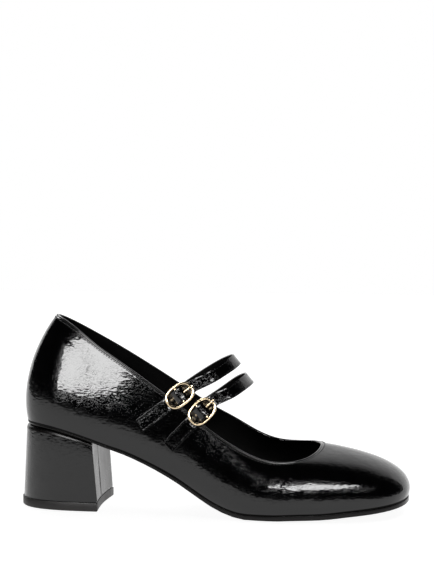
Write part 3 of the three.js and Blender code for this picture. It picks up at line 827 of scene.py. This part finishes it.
class SHOE_OT_topline_stitches(bpy.types.Operator):
    """Sews the row of stitches under the rolled topline"""
    bl_idname = "shoe.topline_stitches"
    bl_label = "Topline Stitches"

    def execute(self, context):
        sizes = context.scene.shoe_upper
        points, normals, _, around = skin.sample(skin.rows_at([sizes.stitch_line]))
        run = running_length(np.concatenate([points[0], points[0][:1]]))
        at = np.linspace(0, run[-1], round(run[-1] / sizes.stitch), endpoint=False)

        def along(values):
            return between(at, run, np.concatenate([values, values[:1]]))

        places = along(points[0]) + 0.02 * MM * unit(along(normals[0]))
        obj = stitch_row(places, unit(along(around[0])), unit(along(normals[0])), "topline_stitches")
        finish(obj, MATERIALS["thread"], "patent_leather")
        return {"FINISHED"}


# ---- insole, sole and heel ----
def soften(obj, angle, width, segments=2):
    """Rounds the edges that are sharper than angle."""
    apply(obj, "BEVEL", limit_method="ANGLE", angle_limit=math.radians(angle), width=width,
          segments=segments, harden_normals=False, use_clamp_overlap=True)


def rounded_copy(node, name, finish_key, slot, sharp, width, segments=2):
    """A node's shape with its sharp edges rounded, finished to stand for the node."""
    obj = copy_node(node, name)
    edit_all(obj)
    bpy.ops.mesh.tris_convert_to_quads(face_threshold=math.radians(60), shape_threshold=math.radians(120))
    leave()
    soften(obj, sharp, width, segments)
    smooth(obj)
    finish(obj, MATERIALS[finish_key], slot, node)
    return obj


class SHOE_OT_insole(bpy.types.Operator):
    """Finishes the insole with its sock"""
    bl_idname = "shoe.insole"
    bl_label = "Insole"

    def execute(self, context):
        rounded_copy("insole", "sock", "sock", "lining_leather", 30, 0.3 * MM)
        return {"FINISHED"}


class SHOE_OT_outsole(bpy.types.Operator):
    """Finishes the outsole with its rounded edge"""
    bl_idname = "shoe.outsole"
    bl_label = "Outsole"

    def execute(self, context):
        rounded_copy("outsole", "sole_unit", "sole", "outsole_rubber", 35, 0.35 * MM)
        return {"FINISHED"}


class SHOE_OT_heel(bpy.types.Operator):
    """Finishes the covered heel block"""
    bl_idname = "shoe.heel"
    bl_label = "Heel"

    def execute(self, context):
        obj = rounded_copy("heel_block", "covered_heel", "heel", "patent_leather", 40, 0.35 * MM, 3)
        obj.data.materials.append(MATERIALS["sole"])  # dull, for the seat and the edge round it
        for face in obj.data.polygons:
            face.material_index = 1 if face.normal.z > 0.1 else 0
        return {"FINISHED"}


BREAST_SEAM = -6.0  # where the two covers of the heel's front meet, in mm across the heel
BREAST_SLIT = 0.8  # half the width of the slit between them where it is widest, in mm


class SHOE_OT_breast(bpy.types.Operator):
    """Covers the hollow front of the heel with two satin panels that part in a slit"""
    bl_idname = "shoe.breast"
    bl_label = "Heel Front"

    def execute(self, context):
        tree = surface_tree("covered_heel")
        seam, margin, closed = BREAST_SEAM * MM, 0.5 * MM, 0.06
        near, far = [], []
        for z in np.linspace(6.2, 47.5, 40) * MM:
            hits = []
            for y in np.arange(-27, 27, 0.25) * MM:
                spot, normal, _, _ = tree.ray_cast(Vector((0.0, y, z)), Vector((-1, 0, 0)))
                if spot is not None and normal.x > 0.7:
                    hits.append((*spot, *normal))
            hits = np.array(hits)
            if len(hits) < 40 or hits[:, 0].min() < -0.1:
                continue
            rise = min(1.0, max(0.0, (z / MM - 4) / 27))
            open_by = (BREAST_SLIT * math.sin(math.pi * rise) + closed) * MM
            near.append(self.row(hits, hits[:, 1].min() + margin, seam - open_by, 10))
            far.append(self.row(hits, seam + open_by, hits[:, 1].max() - margin, 16))
        for name, rows in (("breast_cover_near", near), ("breast_cover_far", far)):
            obj = sheet(name, rows)
            if obj.data.polygons[0].normal.x < 0:
                flip(obj)
            apply(obj, "SOLIDIFY", thickness=0.4 * MM, offset=-1.0)
            soften(obj, 50, 0.12 * MM)
            smooth(obj)
            finish(obj, MATERIALS["breast"], "patent_leather")
        return {"FINISHED"}

    @staticmethod
    def row(hits, start, stop, count):
        read = between(np.linspace(start, stop, count), hits[:, 1], hits)
        return read[:, :3] + unit(read[:, 3:]) * 0.3 * MM


class SHOE_OT_top_piece(bpy.types.Operator):
    """Finishes the top piece under the heel"""
    bl_idname = "shoe.top_piece"
    bl_label = "Top Piece"

    def execute(self, context):
        rounded_copy("top_piece", "heel_lift", "lift", "top_piece_rubber", 40, 0.25 * MM)
        return {"FINISHED"}


# ---- straps and buckles ----
AIR = 0.25  # clearance between a buckle's layers, in mm
SNUG = 0.2  # clearance round the bar, in mm
HOLE_BEYOND = 5.2  # from a ring's end to the next hole, in mm

# foot is the lower end of a chape and topline where it leaves the quarter, both as x and z on the
# outer side. route is the strap beyond its buckle: a place and the direction of its width.
STRAPS = {
    "rear": {
        "foot": (-41.3, 53.7), "topline": (-20.5, 69.4),
        "route": [
            (-0.9, -23.7, 82.1, -0.52, 0.24, 0.82),
            (6.5, -17.3, 86.3, -0.55, 0.14, 0.82),
            (11.7, -8.7, 89.6, -0.6, 0.06, 0.8),
            (13.7, 1.3, 91.4, -0.64, 0, 0.77),
            (11.1, 11.3, 90.3, -0.62, -0.06, 0.78),
            (2.5, 19.3, 85.8, -0.6, -0.12, 0.79),
            (-10.1, 23.3, 77.8, -0.58, -0.16, 0.8),
            (-20.1, 23.3, 70.8, -0.58, -0.16, 0.8),
            (-30.5, 23.1, 63, -0.58, -0.12, 0.8),
        ],
    },
    "front": {
        "foot": (-23.8, 41.5), "topline": (-6.7, 59.4),
        "route": [
            (10.7, -24.3, 73.2, -0.52, 0.24, 0.82),
            (16.3, -17.7, 76.2, -0.55, 0.14, 0.82),
            (20.1, -8.7, 78.6, -0.6, 0.06, 0.8),
            (21.7, 1.3, 79.9, -0.64, 0, 0.77),
            (19.5, 11.3, 79, -0.62, -0.06, 0.78),
            (12.9, 19.9, 75.2, -0.6, -0.12, 0.79),
            (2.9, 24.3, 67.8, -0.58, -0.16, 0.8),
            (-5.9, 25.1, 61.6, -0.58, -0.16, 0.8),
            (-15.9, 24.7, 54, -0.58, -0.12, 0.8),
        ],
    },
}


class BuckleFrame:
    """A buckle's own directions, measured on its node: along the strap, across it and outward."""

    def __init__(self, node):
        points = np.array([v.co[:] for v in NODES[node].data.vertices])
        centre = points.mean(axis=0)
        _, axes = np.linalg.eigh(np.cov((points - centre).T))
        self.ahead = axes[:, 2] * (1 if axes[0, 2] > 0 else -1)
        self.out = axes[:, 0] * (-1 if axes[1, 0] > 0 else 1)
        self.across = np.cross(self.out, self.ahead)
        spans = [(points @ axis).min() + (points @ axis).max()
                 for axis in (self.ahead, self.out, self.across)]
        self.origin = sum(span / 2 * axis for span, axis in zip(spans, (self.ahead, self.out, self.across)))

    def place(self, u, h, w=0.0):
        return self.origin + (self.ahead * u + self.out * h + self.across * w) * MM


def levels_of(context):
    """Heights in mm, in a buckle's frame, of the layers stacked on its bar and under its ends."""
    buckle, strap = context.scene.shoe_buckle, context.scene.shoe_strap
    wire, bar = buckle.wire / MM, buckle.bar / MM
    thick, chape = strap.thick / MM, strap.chape_thick / MM
    under = -(wire + AIR + thick / 2)
    return {
        "under": under,
        "over": bar + SNUG + chape + AIR + thick / 2,
        "chape": under - thick / 2 - AIR - chape / 2,
        "wrap": bar + SNUG + chape / 2,
        "end": buckle.long / MM / 2 - wire,
    }


def crosswise(line, across):
    """Directions across a band and out of its face, toward the outer side at its start."""
    ahead = line[1]
    across = unit(across - ahead * np.sum(across * ahead, axis=1)[:, None])
    up = np.cross(ahead, across)
    return across, -up if np.sum(up[:12, 1]) > 0 else up


def band(name, line, across, width, thick, crown=0.0, level=0.0, rows=12, edge=0.3, lip=0.0):
    """A flat strap along a line as a closed form. Its outer face lies level above the line, with a
    crown in the middle and a lip along each edge."""
    across, up = crosswise(line, across)
    share = np.sin(np.linspace(-1, 1, rows + 1) * math.pi / 2)
    rise = crown * (1 - share ** 2) + lip * np.exp(-((np.abs(share) - 0.95) / 0.06) ** 2)
    rise -= lip * np.exp(-((np.abs(share) - 0.74) / 0.1) ** 2)
    places = (line[0][:, None, :] + across[:, None, :] * (share * width / 2)[None, :, None]
              + up[:, None, :] * (rise + level)[None, :, None])
    obj = sheet(name, places)
    bpy.context.view_layer.update()
    normal = Vector(np.mean([p.normal[:] for p in obj.data.polygons[:20]], axis=0))
    if normal.dot(Vector(np.mean(up[:3], axis=0))) < 0:
        flip(obj)
    apply(obj, "SOLIDIFY", thickness=thick, offset=-1.0, use_even_offset=False)
    soften(obj, 50, edge * MM)
    smooth(obj, 50)
    return obj


def band_stitches(name, line, across, width, level, pitch, first, last):
    """Two rows of stitches along a band, from the share first of its length to the share last."""
    points, ahead, total = line
    across, up = crosswise(line, across)
    index = np.linspace(first, last, int(total * (last - first) / pitch)) * (len(points) - 1)
    places, ways, normals, sideways = (between(index, np.arange(len(points)), values)
                                       for values in (points, ahead, up, across))
    ways, normals, sideways = unit(ways), unit(normals), unit(sideways)
    rows = [places + sideways * sign * 0.37 * width + normals * level for sign in (-1, 1)]
    return stitch_row(np.concatenate(rows), np.tile(ways, (2, 1)), np.tile(normals, (2, 1)), name,
                      long=1.15, thick=0.2)


def strap_line(side, context, count):
    frame_of, at = BUCKLES[side], levels_of(context)
    end, under, over = at["end"], at["under"], at["over"]
    buckled = [(-end - 2.2, under + 0.3), (-end, under), (-6.2, under + 0.4), (-4, 0.2),
               (-2.1, over - 0.6), (0, over), (2.1, over - 0.6), (4, 0.2),
               (6.2, under + 0.4), (end, under), (end + 2, under)]
    route = STRAPS[side]["route"]
    places = [frame_of.place(*p) for p in buckled] + [np.array(row[:3]) * MM for row in route]
    widths = [frame_of.across] * len(buckled) + [np.array(row[3:]) for row in route]
    marks = running_length(places)
    across = between(np.linspace(0, marks[-1], count), marks, widths)
    return smooth_line(places, count), across


BUCKLES = {}


class SHOE_OT_straps(bpy.types.Operator):
    """Lays the two buckled straps, each with its leather and its lining"""
    bl_idname = "shoe.straps"
    bl_label = "Straps"

    def execute(self, context):
        sizes = context.scene.shoe_strap
        for side in STRAPS:
            BUCKLES[side] = BuckleFrame(f"buckle_{side}")
            line, across = strap_line(side, context, 260)
            leather = band(f"strap_leather_{side}", line, across, sizes.width, 0.8 * MM,
                           crown=0.1 * MM, level=0.5 * MM, rows=16, edge=0.2, lip=0.06 * MM)
            self.punch(leather, line, across, side, context)
            finish(leather, MATERIALS["strap"], "patent_leather", f"strap_{side}")
            sewn = band_stitches(f"strap_stitches_{side}", line, across, sizes.width, 0.48 * MM,
                                 sizes.stitch, 0.03, 0.97)
            finish(sewn, MATERIALS["thread"], "patent_leather")
            lining = band(f"strap_lining_{side}", line, across, sizes.width - 0.5 * MM, 0.42 * MM,
                          level=-0.28 * MM, rows=6, edge=0.12)
            self.punch(lining, line, across, side, context)
            finish(lining, MATERIALS["lining"], "lining_leather")
        return {"FINISHED"}

    @staticmethod
    def punch(leather, line, across, side, context):
        """Punches the spare hole beyond the buckle's ring."""
        points, ahead, _ = line
        frame_of = BUCKLES[side]
        u = (points - frame_of.origin) @ frame_of.ahead / MM
        k = int(np.argmin(np.abs(u - (levels_of(context)["end"] + HOLE_BEYOND))))
        turn = Vector(np.cross(ahead[k], across[k])).to_track_quat("Z", "Y").to_euler()
        bpy.ops.mesh.primitive_cylinder_add(vertices=24, radius=context.scene.shoe_strap.hole,
                                            depth=6 * MM, location=points[k], rotation=turn)
        cutter = named("punch")
        apply(leather, "BOOLEAN", object=cutter, operation="DIFFERENCE", solver="EXACT")
        bpy.data.objects.remove(cutter)
        smooth(leather, 50)


def surface_tree(name):
    """Finds places on a finished piece."""
    form = bmesh.new()
    form.from_mesh(bpy.data.objects[name].data)
    tree = BVHTree.FromBMesh(form)
    form.free()
    return tree


class SHOE_OT_chapes(bpy.types.Operator):
    """Folds the short loops that hold the buckles and sews them to the quarter"""
    bl_idname = "shoe.chapes"
    bl_label = "Chapes"

    def execute(self, context):
        sizes = context.scene.shoe_strap
        tree = surface_tree("upper_leather")
        at = levels_of(context)
        for side, strap in STRAPS.items():
            frame_of = BUCKLES[side]
            sewn = []
            foot, top = np.array(strap["foot"]), np.array(strap["topline"])
            for share in (0, 0.25, 0.5, 0.75):
                x, z = (foot + share * (top - foot)) * MM
                spot, normal, _, _ = tree.ray_cast(Vector((x, -0.1, z)), Vector((0, 1, 0)))
                sewn.append(np.array(spot) + np.array(normal) * (0.15 * MM + sizes.chape_thick / 2))
            fold = [frame_of.place(at["wrap"] * math.cos(a), at["wrap"] * math.sin(a))
                    for a in np.radians((-90, -45, 0, 45, 90, 135))]
            places = [*sewn, frame_of.place(-4.6, at["chape"] + 0.5), *fold]
            line = smooth_line(places, 120)
            across = np.repeat(frame_of.across[None, :], 120, axis=0)
            obj = band(f"chape_leather_{side}", line, across, sizes.chape_width, sizes.chape_thick,
                       crown=0.04 * MM, level=sizes.chape_thick / 2, rows=16, edge=0.16,
                       lip=0.03 * MM)
            finish(obj, MATERIALS["chape"], "patent_leather", f"chape_{side}")
            seam = band_stitches(f"chape_stitches_{side}", line, across, sizes.chape_width,
                                 sizes.chape_thick / 2 - 0.04 * MM, sizes.stitch, 0.03, 0.6)
            finish(seam, MATERIALS["thread"], "patent_leather")
        return {"FINISHED"}


class SHOE_OT_buckles(bpy.types.Operator):
    """Shapes the pale gold buckle rings with their bars and prongs"""
    bl_idname = "shoe.buckles"
    bl_label = "Buckles"

    def execute(self, context):
        sizes = context.scene.shoe_buckle
        at = levels_of(context)
        wire, bar, prong = sizes.wire / MM, sizes.bar / MM, sizes.prong / MM
        end, wide = at["end"], sizes.wide / MM / 2 - wire
        for side, frame_of in BUCKLES.items():
            ring = self.ring(frame_of, end, wide, wire)
            rod = self.rod([frame_of.place(0, 0, w) for w in (-wide, 0, wide)], bar, "rod", 8)
            obj = joined([ring, rod], f"buckle_ring_{side}")
            smooth(obj, 60)
            finish(obj, MATERIALS["metal"], "gold_metal", f"buckle_{side}")
            curl, rest = bar + SNUG + prong, wire + AIR + prong
            bent = [(curl * math.cos(a), curl * math.sin(a)) for a in np.radians((200, 165, 130, 95))]
            reach = [(3, curl), (6, rest), (end, rest), (end + 1.7, rest - 0.5)]
            pin = self.rod([frame_of.place(*p) for p in bent + reach], prong, f"buckle_prong_{side}", 40)
            smooth(pin, 60)
            finish(pin, MATERIALS["metal"], "gold_metal", f"prong_{side}")
        return {"FINISHED"}

    @staticmethod
    def ring(frame_of, long, wide, wire):
        around, section = 120, 20
        power = 2 / 2.6  # squareness of the ring
        bpy.ops.mesh.primitive_torus_add(major_segments=around, minor_segments=section)
        obj = named("ring")
        angles = np.linspace(0, 2 * np.pi, around, endpoint=False)
        u = long * np.sign(np.cos(angles)) * np.abs(np.cos(angles)) ** power
        w = wide * np.sign(np.sin(angles)) * np.abs(np.sin(angles)) ** power
        path = np.stack([u, w], axis=1)
        ahead = unit(np.roll(path, -1, axis=0) - np.roll(path, 1, axis=0))
        side = np.stack([ahead[:, 1], -ahead[:, 0]], axis=1)
        places = []
        for (x, y), (nx, ny) in zip(path, side):
            for k in range(section):
                a = 2 * math.pi * k / section
                reach, rise = wire * math.cos(a), 0.9 * wire * math.sin(a)
                places.append(frame_of.place(x + nx * reach, rise, y + ny * reach))
        put(obj, places)
        settle(obj)
        return obj

    @staticmethod
    def rod(places, radius, name, steps):
        """A round rod with domed ends along places."""
        line, ahead, _ = smooth_line(places, steps)
        sections = []
        dome = [(-0.9, 0.45), (-0.55, 0.84)]
        for share, scale in dome:
            sections.append((line[0] + ahead[0] * radius * MM * (share + 0.9) * 0.6, ahead[0], scale))
        sections += [(p, a, 1.0) for p, a in zip(line[1:-1], ahead[1:-1])]
        for share, scale in reversed(dome):
            sections.append((line[-1] - ahead[-1] * radius * MM * (share + 0.9) * 0.6, ahead[-1], scale))
        sides = 16
        places, side = [], np.cross(ahead[0], (0.3, 0.2, 0.9))
        for place, direction, scale in sections:
            side = unit(side - direction * np.dot(side, direction))
            other = np.cross(direction, side)
            for k in range(sides + 1):
                a = 2 * math.pi * k / sides
                places.append(place + (side * math.cos(a) + other * math.sin(a)) * radius * scale * MM)
        obj = sheet(name, np.reshape(places, (len(sections), sides + 1, 3)))
        edit_all(obj)
        bpy.ops.mesh.remove_doubles(threshold=MERGE)
        bpy.ops.mesh.select_all(action="DESELECT")
        bpy.ops.mesh.select_non_manifold(extend=False)
        bpy.ops.mesh.edge_face_add()
        leave()
        settle(obj)
        return obj


# ---- panel and registration ----
STEPS = (SHOE_OT_stage, SHOE_OT_materials, SHOE_OT_upper, SHOE_OT_topline_stitches, SHOE_OT_insole,
         SHOE_OT_outsole, SHOE_OT_heel, SHOE_OT_breast, SHOE_OT_top_piece, SHOE_OT_straps,
         SHOE_OT_chapes, SHOE_OT_buckles)
GROUPS = {"shoe_upper": ShoeUpperSizes, "shoe_strap": ShoeStrapSizes,
          "shoe_buckle": ShoeBuckleSizes, "shoe_finish": ShoeFinish}


class SHOE_PT_panel(bpy.types.Panel):
    """The shoe's sizes and its making steps"""
    bl_idname = "SHOE_PT_panel"
    bl_label = "Shoe"
    bl_space_type = "VIEW_3D"
    bl_region_type = "UI"
    bl_category = "Shoe"

    def draw(self, context):
        for key in GROUPS:
            box = self.layout.box()
            for label in getattr(context.scene, key).bl_rna.properties.keys():
                if label not in {"rna_type", "name"}:
                    box.prop(getattr(context.scene, key), label)
        for step in STEPS:
            self.layout.operator(step.bl_idname)


def register():
    for group in (*GROUPS.values(), *STEPS, SHOE_PT_panel):
        bpy.utils.register_class(group)
    for key, group in GROUPS.items():
        setattr(bpy.types.Scene, key, bpy.props.PointerProperty(type=group))


def unregister():
    for key in GROUPS:
        delattr(bpy.types.Scene, key)
    for group in reversed((*GROUPS.values(), *STEPS, SHOE_PT_panel)):
        bpy.utils.unregister_class(group)


def main():
    register()
    for step in STEPS:
        family, action = step.bl_idname.split(".")
        getattr(getattr(bpy.ops, family), action)()


if __name__ == "__main__":
    main()
